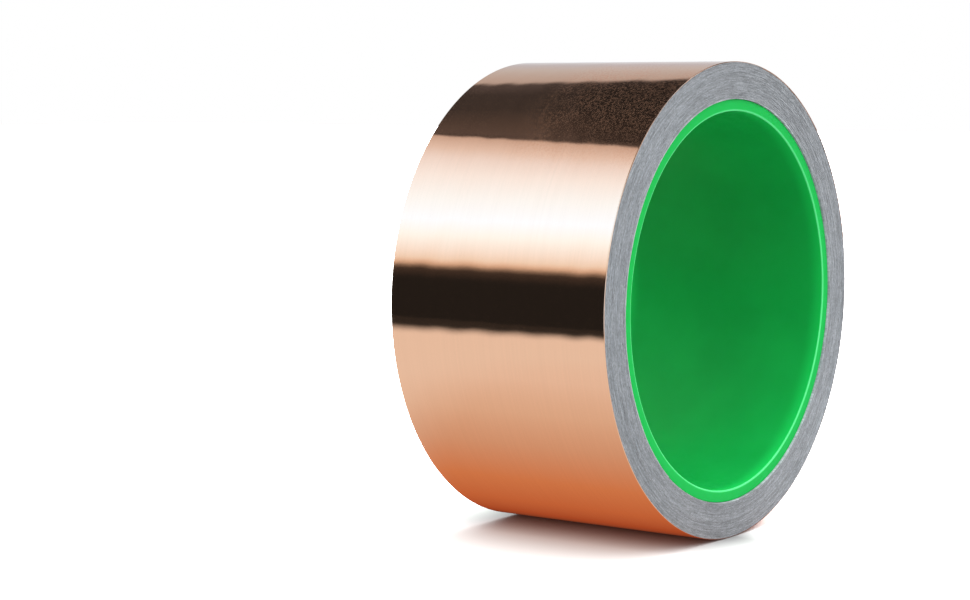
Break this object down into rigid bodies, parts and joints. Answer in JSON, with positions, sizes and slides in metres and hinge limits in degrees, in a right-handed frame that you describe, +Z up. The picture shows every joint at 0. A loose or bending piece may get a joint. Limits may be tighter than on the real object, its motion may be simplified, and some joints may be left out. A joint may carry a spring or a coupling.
{
  "type": "copper foil tape roll",
  "caption": "Roll of wide copper foil tape with a paper liner, wound on a green plastic core, with a loose end that lifts off the roll and a foil tip that peels off its liner.",
  "frame": {"origin": "on the roll's axis, midway between its two sides", "axes": "+Y along the roll's axis towards its back side, +Z up, with the roll standing on its rim"},
  "size_m": [0.0957, 0.05, 0.0959],
  "materials": {
    "copper_foil": "bright rolled copper",
    "clear_adhesive": "clear tacky film",
    "paper_liner": "pale grey release paper",
    "wound_edges": "slit edges of foil and liner in fine rings",
    "green_plastic": "semi-gloss translucent green moulding"
  },
  "bodies": {
    "roll": {"core_tube": "green_plastic", "core_starter_tape": "clear_adhesive", "wound_tape": "wound_edges", "outer_turn_foil": "copper_foil", "outer_turn_adhesive": "clear_adhesive", "outer_turn_liner": "paper_liner"},
    "tail_1": {"tail_1_foil": "copper_foil", "tail_1_adhesive": "clear_adhesive", "tail_1_liner": "paper_liner"},
    "tail_2": {"tail_2_foil": "copper_foil", "tail_2_adhesive": "clear_adhesive", "tail_2_liner": "paper_liner"},
    "tail_3": {"tail_3_foil": "copper_foil", "tail_3_adhesive": "clear_adhesive", "tail_3_liner": "paper_liner"},
    "tail_4": {"tail_4_foil": "copper_foil", "tail_4_adhesive": "clear_adhesive", "tail_4_liner": "paper_liner"},
    "tail_5": {"tail_5_foil": "copper_foil", "tail_5_adhesive": "clear_adhesive", "tail_5_liner": "paper_liner"},
    "liner_tip": {"tip_liner": "paper_liner"},
    "foil_tip": {"tip_foil": "copper_foil", "tip_adhesive": "clear_adhesive"}
  },
  "joints": [
    {"name": "tail_lift", "type": "hinge", "parent": "roll", "child": "tail_1", "pos_m": [0.01039, 0, 0.04688], "axis": [0, -1, 0], "range_deg": [0, 18]},
    {"name": "tail_bend_2", "type": "hinge", "parent": "tail_1", "child": "tail_2", "pos_m": [0.01838, 0, 0.04437], "axis": [0, -1, 0], "range_deg": [0, 18]},
    {"name": "tail_bend_3", "type": "hinge", "parent": "tail_2", "child": "tail_3", "pos_m": [0.0258, 0, 0.0405], "axis": [0, -1, 0], "range_deg": [0, 18]},
    {"name": "tail_bend_4", "type": "hinge", "parent": "tail_3", "child": "tail_4", "pos_m": [0.03245, 0, 0.03541], "axis": [0, -1, 0], "range_deg": [0, 18]},
    {"name": "tail_bend_5", "type": "hinge", "parent": "tail_4", "child": "tail_5", "pos_m": [0.03811, 0, 0.02924], "axis": [0, -1, 0], "range_deg": [0, 18]},
    {"name": "liner_tip_bend", "type": "hinge", "parent": "tail_5", "child": "liner_tip", "pos_m": [0.04261, 0, 0.02218], "axis": [0, -1, 0], "range_deg": [0, 18]},
    {"name": "foil_peel", "type": "hinge", "parent": "liner_tip", "child": "foil_tip", "pos_m": [0.04261, 0, 0.02218], "axis": [0, -1, 0], "range_deg": [0, 60]}
  ],
  "couplings": [
    {"joint": "tail_bend_2", "follows": "tail_lift", "ratio": 1},
    {"joint": "tail_bend_3", "follows": "tail_lift", "ratio": 1},
    {"joint": "tail_bend_4", "follows": "tail_lift", "ratio": 1},
    {"joint": "tail_bend_5", "follows": "tail_lift", "ratio": 1},
    {"joint": "liner_tip_bend", "follows": "tail_lift", "ratio": 1}
  ]
}
